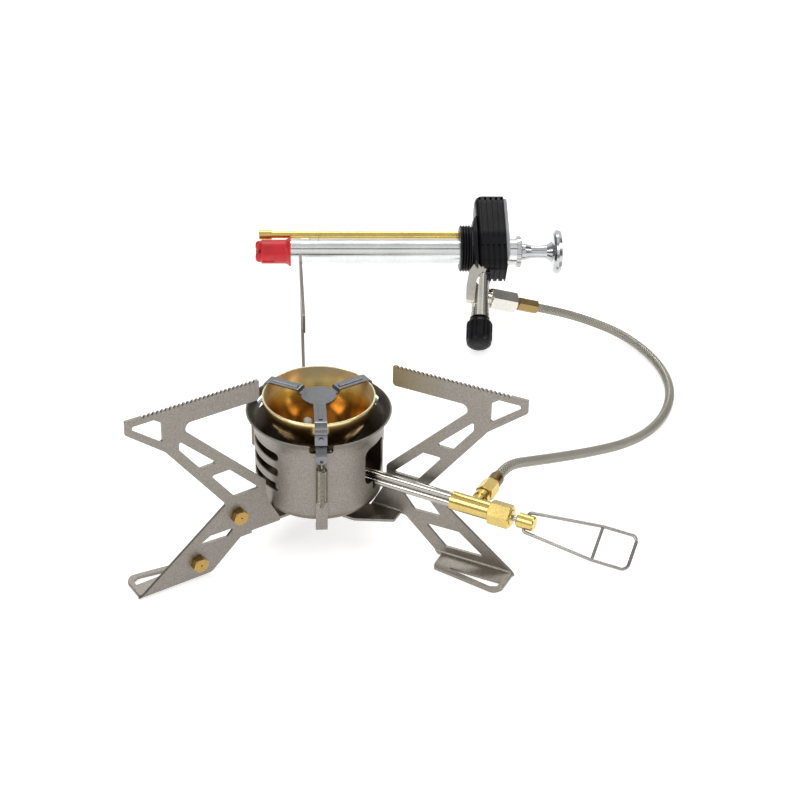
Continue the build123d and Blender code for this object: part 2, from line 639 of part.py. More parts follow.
def pump_barrel():
    """The aluminium tube, with a shallow band near its valve end."""
    barrel = rod(BARREL_R, BARREL_START, BARREL_END, BARREL_BORE_R)
    barrel -= rod(BARREL_R + 1, -121.8, -116.5) - rod(BARREL_R - 0.25, -121.8, -116.5)
    return on_pump(ALONG_X * barrel)


def check_valve_cap():
    """The red cap on the barrel's end: a flared collar, three lobes and a moulded recess."""
    cap = turned([(0, CAP_START), (7.6, CAP_START), (8.1, CAP_START + 0.6), (8.1, -132.2), (8.7, -131.0),
                  (9.8, -129.8), (9.8, CAP_END), (BARREL_BORE_R, CAP_END), (BARREL_BORE_R, SPIGOT_END), (0, SPIGOT_END)])
    for turn in (88, 208, 328):
        lobe = Rot(0, 0, turn) * Pos(4.3, 0, 0) * rod(3.5, CAP_START - 3.8, CAP_START + 1)
        cap += fillet(lobe.edges().group_by(Axis.Z)[0], 2.6)
    cap -= Rot(0, 0, 78) * Pos(8.3, 0, -143.6) * Box(2.0, 4.6, 7.4)
    cap -= rod(2.0, CAP_START + 2, VALVE_SEAT) + rod(CHAMBER_R, VALVE_SEAT, SPIGOT_END)
    return on_pump(ALONG_X * cap)


def check_valve_disc():
    """The small disc that lets air out of the pump and no fuel in."""
    return on_pump(
        ALONG_X * (rod(4.6, VALVE_SEAT, VALVE_SEAT + 1.2) + rod(1.6, VALVE_SEAT + 1.2, VALVE_SEAT + 3))
    )


def check_valve_spring():
    return on_pump(ALONG_X * rod(4.4, VALVE_SEAT + 1.2, SPRING_SEAT, 3.6))


def spring_seat():
    """The perforated washer that the check valve's spring pushes on."""
    seat = rod(CHAMBER_R, SPRING_SEAT, SPRING_SEAT + 1.2)
    for turn in range(0, 360, 60):
        seat -= Rot(0, 0, turn) * Pos(3.0, 0, 0) * rod(0.8, SPRING_SEAT - 1, SPRING_SEAT + 2)
    return on_pump(ALONG_X * seat)


def pickup_pipe():
    """The brass pipe that draws fuel from the bottle, beside the barrel."""
    return on_pump(Pos(0, PIPE_OFFSET, 0) * ALONG_X * rod(PIPE_R, -146.0, PLUG_END + 3, PIPE_R - 0.6))


def pickup_filter():
    """The brass sleeve on the pipe's end that holds the filter."""
    sleeve = rod(3.3, -150.3, -141.6, PIPE_R)
    sleeve += rod(PIPE_R, -150.3, -146.0, 1.4)
    sleeve = chamfer(sleeve.edges().group_by(Axis.Z)[0].sort_by(SortBy.LENGTH)[-1], 0.4)
    return on_pump(Pos(0, PIPE_OFFSET, 0) * ALONG_X * sleeve)


def bottle_plug():
    """The black threaded plug that screws into the fuel bottle."""
    step = (PLUG_END - PLUG_START) / 8
    profile = [(0, PLUG_START)]
    for i in range(4):
        z = PLUG_START + 2 * i * step
        profile += [(PLUG_R - 0.9, z), (PLUG_R, z + 0.7 * step), (PLUG_R, z + 1.3 * step)]
    profile += [(PLUG_R - 0.9, PLUG_END), (0, PLUG_END)]
    plug = Pos(0, PLUG_CENTRE, 0) * ALONG_X * turned(profile)
    plug -= ALONG_X * rod(BARREL_R, PLUG_START, PLUG_END)
    plug -= Pos(0, PIPE_OFFSET, 0) * ALONG_X * rod(PIPE_R, PLUG_START, PLUG_END)
    return on_pump(plug)


def plug_o_ring():
    ring = Pos(PLUG_END + 0.6, PLUG_CENTRE, 0) * ALONG_X * Torus(NECK_R + 0.57, 0.55)
    return on_pump(ring)


# the pump head's outline, seen along the barrel: local X runs towards the knob, local Y across
HEAD_CORNERS = [
    (HEAD_TOP, -10.5), (HEAD_TOP, 10.5), (-6, 14.5), (18.5, 11.5), (18.5, -11.5), (-6, -14.5)
]
HEAD_RADII = [8, 8, 14, 6, 6, 14]
BAND_HALF = 2.6              # the plain band across the grip, over the barrel
RIB_PITCH = 3.7


def across_barrel(x):
    """A plane across the barrel: local X towards the knob, extruding towards the plunger."""
    return Plane(origin=(x, 0, 0), x_dir=(0, 1, 0), z_dir=(1, 0, 0))


def head_slab(x, depth, inset=0.0):
    """A slab with the head's outline, drawn in by an inset."""
    corners = []
    for u, v in HEAD_CORNERS:
        corners.append((u - inset * (u > 10) + inset * (u < -10), v - inset if v > 0 else v + inset))
    return extrude(
        across_barrel(x) * make_face(FilletPolyline(*corners, radius=HEAD_RADII, close=True)), depth
    )


def pump_head():
    """The black grip that the barrel, the plug and the valve are fixed in, ribbed for the hand."""
    head = head_slab(HEAD_START, HEAD_END - HEAD_START)
    top_edges = head.edges().group_by(Axis.X)[0].filter_by(lambda e: e.center().Y < -12)
    head = fillet(top_edges, 5.0)
    skin = head_slab(HEAD_START - 1, HEAD_END - HEAD_START + 2) - head_slab(HEAD_START - 2, 40, 1.0)
    for i in range(5):
        x = HEAD_START + 3.2 + i * RIB_PITCH
        head -= skin & Pos(x, -20, 0) * Box(1.5, 2 * (20 - BAND_HALF), 60)
        head -= skin & Pos(x, 20, 0) * Box(1.5, 2 * (20 - BAND_HALF), 60)
    neck = Pos(PLUG_END, PLUG_CENTRE, 0) * ALONG_X * rod(NECK_R, 0, HEAD_START - PLUG_END)
    bell = Pos(0, PLUG_CENTRE, 0) * ALONG_X * turned([(0, SHOULDER_START), (16.6, SHOULDER_START),
                                                      (20.0, SHOULDER_START + 1.0), (22.6, HEAD_START), (0, HEAD_START)])
    shoulder = bell & head_slab(SHOULDER_START - 1, 12)
    head += neck + shoulder
    head -= ALONG_X * rod(BARREL_R, PLUG_END - 1, HEAD_END + 1)
    head -= Pos(0, PIPE_OFFSET, 0) * ALONG_X * rod(PIPE_R, PLUG_END, PLUG_END + 3)
    head -= STEM_PLACE * rod(STEM_R, STEM_START, KNOB_START) + wing()
    return on_pump(head)


def head_back_plate():
    """The light plate on the plunger's side of the grip."""
    plate = head_slab(HEAD_END, 2.4, 1.2)
    plate &= Pos(HEAD_END, HEAD_TOP, 0) * Box(8, 2 * (8 - HEAD_TOP), 60)
    plate = fillet(plate.edges().group_by(Axis.X)[-1], 0.8)
    plate -= ALONG_X * rod(BARREL_R, HEAD_END - 1, HEAD_END + 3)
    return on_pump(plate)


def barrel_collar():
    """The sleeve on the barrel's plunger end."""
    collar = rod(BARREL_R, BARREL_END, COLLAR_START, BARREL_BORE_R) + rod(
        COLLAR_R, COLLAR_START, 21.0, BARREL_BORE_R
    )
    collar += rod(COLLAR_R, 21.0, COLLAR_END, ROD_R + 0.1)
    return on_pump(ALONG_X * collar)


def retaining_ring():
    """The knurled nut that closes the barrel around the plunger's rod."""
    ring = rod(10.6, 22.8, 26.1)
    ring = chamfer(ring.edges().group_by(Axis.Z)[-1], 0.6)
    for turn in range(0, 360, 20):
        ring -= Rot(0, 0, turn) * Pos(10.9, 0, 22.0) * rod(0.75, 0, 5)
    return on_pump(ALONG_X * (ring - rod(ROD_R + 0.1, 22, 27)))


def plunger_rod():
    return on_pump(ALONG_X * rod(ROD_R, PISTON_AT, 34.0))


def plunger_knob():
    """The bright pull: a waisted neck and a lens-shaped disc for the thumb."""
    neck = [(0, 26.4), (5.8, 26.4), (5.6, 29.0), (4.4, 33.0), (4.2, 38.5), (4.8, 43.5), (7.0, 47.0)]
    disc = [
        (12.6, 47.6), (DISC_R - 0.6, 49.0), (DISC_R, 50.6), (DISC_R - 0.7, 52.6), (9.5, 54.2), (
            0, PLUNGER_END
        )
    ]
    knob = turned(neck + disc)
    knob -= rod(ROD_R, 26.0, 34.0)
    return on_pump(ALONG_X * knob)


def piston():
    """The piston on the rod's inner end."""
    body = rod(7.2, PISTON_AT - 6.5, PISTON_AT) - rod(8.0, PISTON_AT - 4.8, PISTON_AT - 2.4, 4.6)
    return on_pump(ALONG_X * body)


def piston_cup():
    """The rubber ring that seals the piston in the barrel."""
    return on_pump(ALONG_X * rod(BARREL_BORE_R - 0.05, PISTON_AT - 4.8, PISTON_AT - 2.4, 4.6))


# the valve stem's frame: Z runs out of the head towards the valve knob
STEM_PLACE = Rot(0, 0, STEM_LEAN) * ALONG_Y
# the outlet's frame: Z runs out of the valve block towards the hose
OUTLET_PLACE = Pos(OUTLET_X, OUTLET_Y, 0) * Rot(0, 90 - OUTLET_TURN, 0)


def wing():
    """The flat shield cast onto the block, beside the stem and curving over its root."""
    plan = [(-10.0, 43.4), (-10.0, 32.0), (-8.6, 21.0), (-5.4, 15.0), (0.0, 13.4), (3.4, 16.0), (2.4, 20.0),
            (-1.8, 22.5), (-3.4, 28.0), (-4.6, 43.4)]
    radii = [1.2, 12, 8, 4, 3, 1.5, 1.5, 4, 8, 0.4]
    return Rot(0, 0, STEM_LEAN) * Pos(0, 0, -8.0) * extrude(outline(plan, radii), 4.4)


def valve_block():
    """The nickel-plated block between head and knob, with the outlet's boss and its shield."""
    block = rod(STEM_R, STEM_START, KNOB_START - 2.4)
    block += rod(STEM_R + 0.5, KNOB_START - 4.4, KNOB_START - 1.6)
    block -= rod(2.55, 44.0, KNOB_START)
    boss = OUTLET_PLACE * rod(5.2, 0, OUTLET_HEX_START)
    return on_pump(STEM_PLACE * block + boss + wing() - OUTLET_PLACE * rod(1.4, 2, 12))


def valve_spindle():
    return on_pump(STEM_PLACE * rod(2.5, 45.0, KNOB_START + 8))


def valve_knob():
    """The black knob that opens the pump's valve: a neck, a fluted grip and a domed nose."""
    knob = turned([(0, KNOB_START - 1.2), (5.6, KNOB_START - 1.2), (5.8, KNOB_START + 1.4), (8.2, KNOB_START + 1.8),
                   (KNOB_R, KNOB_START + 3.0), (KNOB_R, KNOB_END - 5.0), (7.9, KNOB_END - 1.8),
                   (6.4, KNOB_END - 0.5), (4.0, KNOB_END), (0, KNOB_END)])
    for turn in range(0, 360, 45):
        knob -= Rot(0, 0, turn + 22) * Pos(KNOB_R + 0.9, 0, 0) * rod(
            1.7, KNOB_START + 1.6, KNOB_END - 3.4
        )
    knob -= rod(2.5, KNOB_START - 2, KNOB_START + 8)
    return on_pump(STEM_PLACE * knob)


def outlet_nut():
    """The plated hex nut that holds the hose's end to the valve block."""
    nut = hex_bar(OUTLET_HEX_AF, OUTLET_HEX_START, OUTLET_HEX_END, 28)
    nut += rod(3.2, OUTLET_HEX_END, OUTLET_HEX_END + 1.5)
    return on_pump(OUTLET_PLACE * (nut - rod(1.4, OUTLET_HEX_START - 1, OUTLET_HEX_END + 2)))


def outlet_ferrule():
    """The brass hexagonal sleeve crimped on the hose at the pump."""
    start = OUTLET_HEX_END + 1.5
    return on_pump(
        OUTLET_PLACE * (
            hex_bar(8.2, start, PUMP_FERRULE_END, 28) - rod(1.4, start - 1, PUMP_FERRULE_END)
        )
    )


# ---- build everything, centre it and save it ----
parts = {
    "burner_cup": burner_cup,
    "flame_bowl": flame_bowl,
    "flame_spreader": flame_spreader,
    "jet_block": jet_block,
    "burner_jet": burner_jet,
    "mixing_tube": mixing_tube,
    "vaporiser_loop": vaporiser_loop,
    "priming_pad": priming_pad,
    "hub_bolt": hub_bolt,
    "hub_spacer": hub_spacer,
    "fuel_tube_upper": lambda: fuel_tube(1),
    "fuel_tube_lower": lambda: fuel_tube(-1),
    "valve_body": valve_body,
    "packing_nut": packing_nut,
    "packing_seal": packing_seal,
    "needle_spindle": needle_spindle,
    "handle_hub": handle_hub,
    "wire_handle": wire_handle,
    "hose_nipple": hose_nipple,
    "hose_ferrule": hose_ferrule,
    "pump_barrel": pump_barrel,
    "check_valve_cap": check_valve_cap,
    "check_valve_disc": check_valve_disc,
    "check_valve_spring": check_valve_spring,
    "spring_seat": spring_seat,
    "pickup_pipe": pickup_pipe,
    "pickup_filter": pickup_filter,
    "bottle_plug": bottle_plug,
    "plug_o_ring": plug_o_ring,
    "pump_head": pump_head,
    "head_back_plate": head_back_plate,
    "barrel_collar": barrel_collar,
    "retaining_ring": retaining_ring,
    "plunger_rod": plunger_rod,
    "plunger_knob": plunger_knob,
    "piston": piston,
    "piston_cup": piston_cup,
    "valve_block": valve_block,
    "valve_spindle": valve_spindle,
    "valve_knob": valve_knob,
    "outlet_nut": outlet_nut,
    "outlet_ferrule": outlet_ferrule,
    "fuel_hose": fuel_hose,
}
for side in LEG_AZIMUTH:
    parts["leg_" + side] = lambda side=side: leg(side)
for label, spot in zip(("upper", "lower"), JET_SPOTS):
    parts["spare_jet_" + label] = lambda spot=spot: spare_jet(*spot)
for side, azimuth in CLIP_AZIMUTHS.items():
    parts["clip_strap_" + side] = lambda azimuth=azimuth: clip_strap(azimuth)
    parts["clip_rivet_" + side] = lambda azimuth=azimuth: clip_rivet(azimuth)
    parts["clip_spring_" + side] = lambda azimuth=azimuth: clip_spring(azimuth)
    parts["clip_hook_" + side] = lambda azimuth=azimuth: clip_hook(azimuth)

HOSE_PARTS = ("fuel_hose", "hose_ferrule", "outlet_ferrule")
shapes = {}
for name, make in parts.items():
    shapes[name] = make()
    solids = len(shapes[name].solids())
    volume = round(shapes[name].volume, 1)
    print(name, "solids", solids, "volume", volume, "valid", shapes[name].is_valid)
boxes = [shape.bounding_box() for name, shape in shapes.items() if name not in HOSE_PARTS]
middle_x = (min(box.min.X for box in boxes) + max(box.max.X for box in boxes)) / 2
middle_y = (min(box.min.Y for box in boxes) + max(box.max.Y for box in boxes)) / 2
print("shift", round(-middle_x, 4), round(-middle_y, 4))
for name, shape in shapes.items():
    export_step(Pos(-middle_x, -middle_y, 0) * shape, "parts/" + name + ".step")
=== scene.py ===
"""Looks for the camping stove with its bottle pump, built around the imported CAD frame."""

import math

import bpy
import numpy as np
from mathutils import Matrix, Vector


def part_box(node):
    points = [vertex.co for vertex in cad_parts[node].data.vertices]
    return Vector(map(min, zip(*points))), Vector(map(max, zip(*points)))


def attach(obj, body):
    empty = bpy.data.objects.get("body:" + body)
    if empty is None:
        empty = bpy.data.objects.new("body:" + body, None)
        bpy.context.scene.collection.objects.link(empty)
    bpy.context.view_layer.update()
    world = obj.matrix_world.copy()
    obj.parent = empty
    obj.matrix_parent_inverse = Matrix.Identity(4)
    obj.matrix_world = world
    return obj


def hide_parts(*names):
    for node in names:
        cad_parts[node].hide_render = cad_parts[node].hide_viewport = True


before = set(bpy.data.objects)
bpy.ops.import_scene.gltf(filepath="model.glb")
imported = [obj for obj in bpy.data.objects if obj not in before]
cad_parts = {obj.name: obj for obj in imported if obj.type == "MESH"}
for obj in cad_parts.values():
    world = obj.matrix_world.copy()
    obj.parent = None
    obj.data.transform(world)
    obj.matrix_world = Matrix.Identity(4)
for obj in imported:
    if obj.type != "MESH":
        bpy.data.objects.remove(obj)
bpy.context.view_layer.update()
MM = 0.001

cup_low, cup_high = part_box("burner_cup")
BURNER = (cup_low + cup_high) / 2
BURNER.z = 0


def at(x, y, z):
    """A point given in millimetres from the foot of the burner's axis."""
    return BURNER + Vector((x, y, z)) * MM


def link(obj):
    """Puts a new object in the scene."""
    bpy.context.scene.collection.objects.link(obj)
    return obj


# ---------------------------------------------------------------- camera
CAMERA_LENS = 73.28
CAMERA_SENSOR = 36
CAMERA_PLACE = (43.0, -735.1, 534.0)
CAMERA_TILT = 31.57           # degrees below the horizon
CAMERA_ROLL = 1.46
CLIP_START = 0.05
CLIP_END = 50


def make_camera():
    """The camera that sees the stove as the photograph does."""
    camera = link(bpy.data.objects.new("camera", bpy.data.cameras.new("camera")))
    camera.data.lens = CAMERA_LENS
    camera.data.sensor_width = CAMERA_SENSOR
    camera.data.clip_start = CLIP_START
    camera.data.clip_end = CLIP_END
    tilt = Matrix.Rotation(math.radians(90 - CAMERA_TILT), 4, "X")
    roll = Matrix.Rotation(math.radians(CAMERA_ROLL), 4, "Z")
    camera.matrix_world = Matrix.Translation(at(*CAMERA_PLACE)) @ tilt @ roll
    bpy.context.scene.camera = camera


make_camera()


# ---------------------------------------------------------------- mesh and line helpers
def mesh_object(name, vertices, faces, smooth=True):
    """A new object from plain vertices and faces."""
    mesh = bpy.data.meshes.new(name)
    mesh.from_pydata([tuple(v) for v in vertices], [], faces)
    mesh.validate()
    if smooth:
        mesh.shade_smooth()
    mesh.update()
    return link(bpy.data.objects.new(name, mesh))


def tube_faces(rings, around, base=0):
    """Side and end faces of a closed tube whose rings of vertices follow each other."""
    faces = []
    for i in range(rings - 1):
        for j in range(around):
            k = (j + 1) % around
            one = base + i * around
            two = one + around
            faces.append((one + j, one + k, two + k, two + j))
    last = base + (rings - 1) * around
    faces.append(tuple(base + j for j in reversed(range(around))))
    faces.append(tuple(last + j for j in range(around)))
    return faces


def line_points(obj):
    """Points read from a curve object's own line."""
    mesh = bpy.data.meshes.new_from_object(obj)
    points = np.array([v.co for v in mesh.vertices], float)
    bpy.data.meshes.remove(mesh)
    return points


def resampled(points, step):
    """Points at an even spacing along a line, and the length up to each."""
    gaps = np.linalg.norm(np.diff(points, axis=0), axis=1)
    along = np.concatenate([[0], np.cumsum(gaps)])
    count = max(3, int(along[-1] / step))
    wanted = np.linspace(0, along[-1], count)
    return np.stack([np.interp(wanted, along, points[:, i]) for i in range(3)], 1), wanted


def carried_frames(points):
    """Two normals at each point of a line, carried along it without twisting."""
    tangents = np.gradient(points, axis=0)
    tangents /= np.linalg.norm(tangents, axis=1)[:, None]
    normal = np.cross(tangents[0], (0.1, 0.2, 1.0))
    normals = []
    for tangent in tangents:
        normal = normal - tangent * (normal @ tangent)
        normal = normal / np.linalg.norm(normal)
        normals.append(normal)
    normals = np.array(normals)
    return normals, np.cross(tangents, normals)


# ---------------------------------------------------------------- hose
HOSE_R = 3.0 * MM
HOSE_CORE = 0.88              # the core's share of the hose's radius, under the braid
HOSE_ROUTE = [                # from the flame valve to the pump, the same points as in part.py
    (96.76, -11.43, 42.8),
    (99.87, -4.94, 42.8),
    (105.6, 3.9, 41.1),
    (117.4, 15.5, 35.5),
    (134.1, 30.8, 28.4),
    (154.0, 49.4, 20.3),
    (174.9, 70.4, 12.1),
    (193.5, 93.9, 6.1),
    (207.6, 120.3, 3.6),
    (214.4, 147.9, 3.1),
    (212.5, 175.1, 3.1),
    (203.1, 199.6, 3.6),
    (188.5, 219.3, 4.8),
    (170.2, 232.0, 6.2),
    (150.25, 237.4, 9.57),
    (133.35, 233.27, 14.92),
]
LINE_RESOLUTION = 12
CORE_RESOLUTION = 6

BRAID_STRANDS = 8             # wound each way
BRAID_PITCH = 17.0 * MM
BRAID_STEP = 0.5 * MM
STRAND_DEPTH = 0.35 * MM      # of a strand's middle under the hose's surface
WEAVE_RISE = 0.17 * MM
STRAND_HALF_WIDTH = 0.50 * MM
STRAND_HALF_HEIGHT = 0.17 * MM
STRAND_SECTION = [(1, 0), (0.6, 0.8), (-0.6, 0.8), (-1, 0), (-0.6, -0.8), (0.6, -0.8)]


def nurbs_line(name, points):
    """A smooth line with the route's points as its control points."""
    curve = bpy.data.curves.new(name, "CURVE")
    curve.dimensions = "3D"
    curve.resolution_u = LINE_RESOLUTION
    spline = curve.splines.new("NURBS")
    spline.points.add(len(points) - 1)
    for point, where in zip(spline.points, points):
        point.co = (*where, 1)
        point.radius = HOSE_R
    spline.order_u = 3
    spline.use_endpoint_u = True
    return link(bpy.data.objects.new(name, curve))


def ribbon_sweep(paths, across, outward):
    """Vertices and faces of flat-oval strands, one for each path."""
    vertices, faces = [], []
    for path, side, out in zip(paths, across, outward):
        faces += tube_faces(len(path), len(STRAND_SECTION), base=len(vertices))
        for p, a, o in zip(path, side, out):
            for u, v in STRAND_SECTION:
                vertices.append(p + a * (u * STRAND_HALF_WIDTH) + o * (v * STRAND_HALF_HEIGHT))
    return vertices, faces


def braid(points):
    """Two sets of strands wound opposite ways, each passing over and under the other."""
    line, along = resampled(points, BRAID_STEP)
    first, second = carried_frames(line)
    turn = along * 2 * math.pi / BRAID_PITCH
    weave = np.cos(BRAID_STRANDS * along * 2 * math.pi / BRAID_PITCH)
    paths, across, outward = [], [], []
    for way in (1, -1):
        for k in range(BRAID_STRANDS):
            angle = way * turn + 2 * math.pi * k / BRAID_STRANDS
            out = first * np.cos(angle)[:, None] + second * np.sin(angle)[:, None]
            radius = HOSE_R - STRAND_DEPTH + way * weave * WEAVE_RISE
            path = line + out * radius[:, None]
            forward = np.gradient(path, axis=0)
            forward /= np.linalg.norm(forward, axis=1)[:, None]
            paths.append(path)
            outward.append(out)
            across.append(np.cross(out, forward))
    return ribbon_sweep(paths, across, outward)


hose = nurbs_line("braided_hose", [at(*p) for p in HOSE_ROUTE])
braid_mesh = mesh_object("hose_braid_strands", *braid(line_points(hose)))
hose.data.bevel_depth = HOSE_CORE
hose.data.bevel_resolution = CORE_RESOLUTION
hose.data.use_fill_caps = True
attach(hose, "stove")
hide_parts("fuel_hose")
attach(braid_mesh, "stove")


# ---------------------------------------------------------------- shader helpers
def feed(tree, value, socket):
    """Gives a socket a number, a colour, or another socket's value."""
    if isinstance(value, (int, float)):
        socket.default_value = value
    elif isinstance(value, tuple):
        socket.default_value = (*value, 1)
    else:
        tree.links.new(value, socket)


def nodes_of(name, metallic, roughness):
    """A new material with its node tree and its shader."""
    material = bpy.data.materials.new(name)
    material.use_nodes = True
    tree = material.node_tree
    shader = tree.nodes["Principled BSDF"]
    shader.inputs["Metallic"].default_value = metallic
    shader.inputs["Roughness"].default_value = roughness
    return material, tree, shader


def noise(tree, scale, stretch=(1, 1, 1), detail=4.0):
    """Noise over the object's own coordinates; a large stretch squeezes it along that axis."""
    where = tree.nodes.new("ShaderNodeTexCoord")
    mapping = tree.nodes.new("ShaderNodeMapping")
    mapping.inputs["Scale"].default_value = stretch
    tree.links.new(where.outputs["Object"], mapping.inputs["Vector"])
    texture = tree.nodes.new("ShaderNodeTexNoise")
    texture.inputs["Scale"].default_value = scale
    texture.inputs["Detail"].default_value = detail
    tree.links.new(mapping.outputs["Vector"], texture.inputs["Vector"])
    return texture.outputs["Fac"]


def grey(level):
    """A grey of one brightness."""
    return (level, level, level)


def shade(colour, amount):
    """A colour made lighter or darker."""
    return tuple(min(1, c * amount) for c in colour)


def ramp(tree, value, stops):
    """A colour ramp: stops are (place, colour)."""
    node = tree.nodes.new("ShaderNodeValToRGB")
    while len(node.color_ramp.elements) < len(stops):
        node.color_ramp.elements.new(0.5)
    for element, (place, colour) in zip(node.color_ramp.elements, stops):
        element.position = place
        element.color = (*colour, 1)
    tree.links.new(value, node.inputs["Fac"])
    return node.outputs["Color"]


def spread(tree, value, low_out, high_out, low_in=0.3, high_in=0.7):
    """Maps a value from one range to another; the default range is where noise mostly lies."""
    node = tree.nodes.new("ShaderNodeMapRange")
    node.inputs["From Min"].default_value = low_in
    node.inputs["From Max"].default_value = high_in
    node.inputs["To Min"].default_value = low_out
    node.inputs["To Max"].default_value = high_out
    tree.links.new(value, node.inputs["Value"])
    return node.outputs["Result"]


def bump(tree, shader, value, strength, distance):
    """Fine relief on a shader's surface."""
    node = tree.nodes.new("ShaderNodeBump")
    node.inputs["Strength"].default_value = strength
    node.inputs["Distance"].default_value = distance
    tree.links.new(value, node.inputs["Height"])
    tree.links.new(node.outputs["Normal"], shader.inputs["Normal"])


def maths(tree, operation, *values):
    """One maths node on numbers or sockets."""
    node = tree.nodes.new("ShaderNodeMath")
    node.operation = operation
    for value, socket in zip(values, node.inputs):
        feed(tree, value, socket)
    return node.outputs[0]


def length_of(tree, vector):
    """A vector socket's length."""
    node = tree.nodes.new("ShaderNodeVectorMath")
    node.operation = "LENGTH"
    tree.links.new(vector, node.inputs[0])
    return node.outputs["Value"]


def blend_colours(tree, factor, first, second, kind="MIX"):
    """Two colours or colour sockets, mixed or multiplied."""
    node = tree.nodes.new("ShaderNodeMix")
    node.data_type = "RGBA"
    node.blend_type = kind
    for value, socket in ((factor, 0), (first, 6), (second, 7)):
        feed(tree, value, node.inputs[socket])
    return node.outputs[2]


def from_axis(tree):
    """Distance from the burner's axis, and height, as sockets in metres."""
    where = tree.nodes.new("ShaderNodeTexCoord")
    moved = tree.nodes.new("ShaderNodeVectorMath")
    moved.operation = "SUBTRACT"
    moved.inputs[1].default_value = tuple(BURNER)
    tree.links.new(where.outputs["Object"], moved.inputs[0])
    flat = tree.nodes.new("ShaderNodeVectorMath")
    flat.operation = "MULTIPLY"
    flat.inputs[1].default_value = (1, 1, 0)
    tree.links.new(moved.outputs[0], flat.inputs[0])
    split = tree.nodes.new("ShaderNodeSeparateXYZ")
    tree.links.new(moved.outputs[0], split.inputs[0])
    return length_of(tree, flat.outputs[0]), split.outputs["Z"]


# ---------------------------------------------------------------- materials
STEEL = (0.30, 0.275, 0.245)
STRAW = (0.24, 0.185, 0.09)
# painted shade and a painted reflection of the brass bowl, for the inside of the cup's wall
PAINTED_BOWL_REFLECTION_BROWN = (0.20, 0.155, 0.115)
BLASTED = dict(rough=(0.38, 0.50), contrast=0.24, grain=1500, depth=0.05)

METAL_PATCHES = 45            # noise scale of the broad changes over a part
METAL_PATCH_SHADE = 0.86
METAL_RELIEF = 0.35
PLASTIC_PATCHES = 70
PLASTIC_RELIEF = 0.3

STRAW_RADII = (38, 72)        # mm from the burner's axis, from full tint to none
STRAW_HEIGHTS = (60, 95)      # mm above the ground, from no tint to full
CUP_SKIN_RADII = (34.0, 34.4)  # mm, between the inside and the outside of the cup's wall
BOWL_CENTRE_Z = 84.2          # mm, the centre of the bowl's sphere
BOWL_HEIGHTS = (60, 84.6)     # mm, from the bowl's foot to its rim
BOWL_SKIN_RADII = (29.5, 29.8)  # mm, between the inside and the outside of its wall
BOWL_PATCHES = 60


def metal_nodes(name, colour, rough, contrast=0.12, grain=900, stretch=(1, 1, 1), depth=0.02):
    """Metal with a fine grain in its colour, roughness and surface."""
    material, tree, shader = nodes_of(name, 1.0, rough[0])
    fine = noise(tree, grain, stretch)
    broad = noise(tree, METAL_PATCHES, detail=3)
    grains = [(0.3, shade(colour, 1 - contrast)), (0.7, shade(colour, 1 + contrast))]
    patches = [(0.3, grey(METAL_PATCH_SHADE)), (0.7, grey(1))]
    colour_out = blend_colours(
        tree, 1.0, ramp(tree, fine, grains), ramp(tree, broad, patches), "MULTIPLY"
    )
    tree.links.new(colour_out, shader.inputs["Base Color"])
    tree.links.new(spread(tree, broad, rough[0], rough[1]), shader.inputs["Roughness"])
    bump(tree, shader, fine, METAL_RELIEF, depth * MM)
    return material, tree, shader, colour_out


def metal(*look, **more):
    """A metal of one colour all over."""
    return metal_nodes(*look, **more)[0]


def plastic(name, colour, rough, grain=1400, depth=0.02, gloss=0.5):
    """Moulded plastic with a fine texture and faint scuffs."""
    material, tree, shader = nodes_of(name, 0.0, rough[0])
    shader.inputs["Specular IOR Level"].default_value = gloss
    fine = noise(tree, grain, detail=2)
    broad = noise(tree, PLASTIC_PATCHES, detail=5)
    scuffs = [(0.35, shade(colour, 0.8)), (0.75, shade(colour, 1.35))]
    tree.links.new(ramp(tree, broad, scuffs), shader.inputs["Base Color"])
    tree.links.new(spread(tree, broad, rough[0], rough[1]), shader.inputs["Roughness"])
    bump(tree, shader, fine, PLASTIC_RELIEF, depth * MM)
    return material


def leg_steel():
    """Bead-blasted steel, straw-coloured near the flame."""
    material, tree, shader, colour_out = metal_nodes("tinted_leg_steel", STEEL, **BLASTED)
    radius, height = from_axis(tree)
    near = spread(tree, radius, 1.0, 0.0, *(r * MM for r in STRAW_RADII))
    high_up = spread(tree, height, 0.0, 1.0, *(h * MM for h in STRAW_HEIGHTS))
    heat = maths(tree, "MULTIPLY", near, high_up)
    tinted = blend_colours(tree, heat, colour_out, STRAW)
    tree.links.new(tinted, shader.inputs["Base Color"])
    return material


def cup_steel():
    """Bead-blasted steel, brown inside near the bowl: painted shade and a painted reflection of
    the brass bowl.
    """
    material, tree, shader, colour_out = metal_nodes("cup_steel", STEEL, **BLASTED)
    radius = from_axis(tree)[0]
    inside = spread(tree, radius, 1.0, 0.0, *(r * MM for r in CUP_SKIN_RADII))
    # the inside of the cup's wall gets painted shade and a painted reflection of the brass bowl
    tinted = blend_colours(tree, inside, colour_out, PAINTED_BOWL_REFLECTION_BROWN)
    tree.links.new(tinted, shader.inputs["Base Color"])
    return material


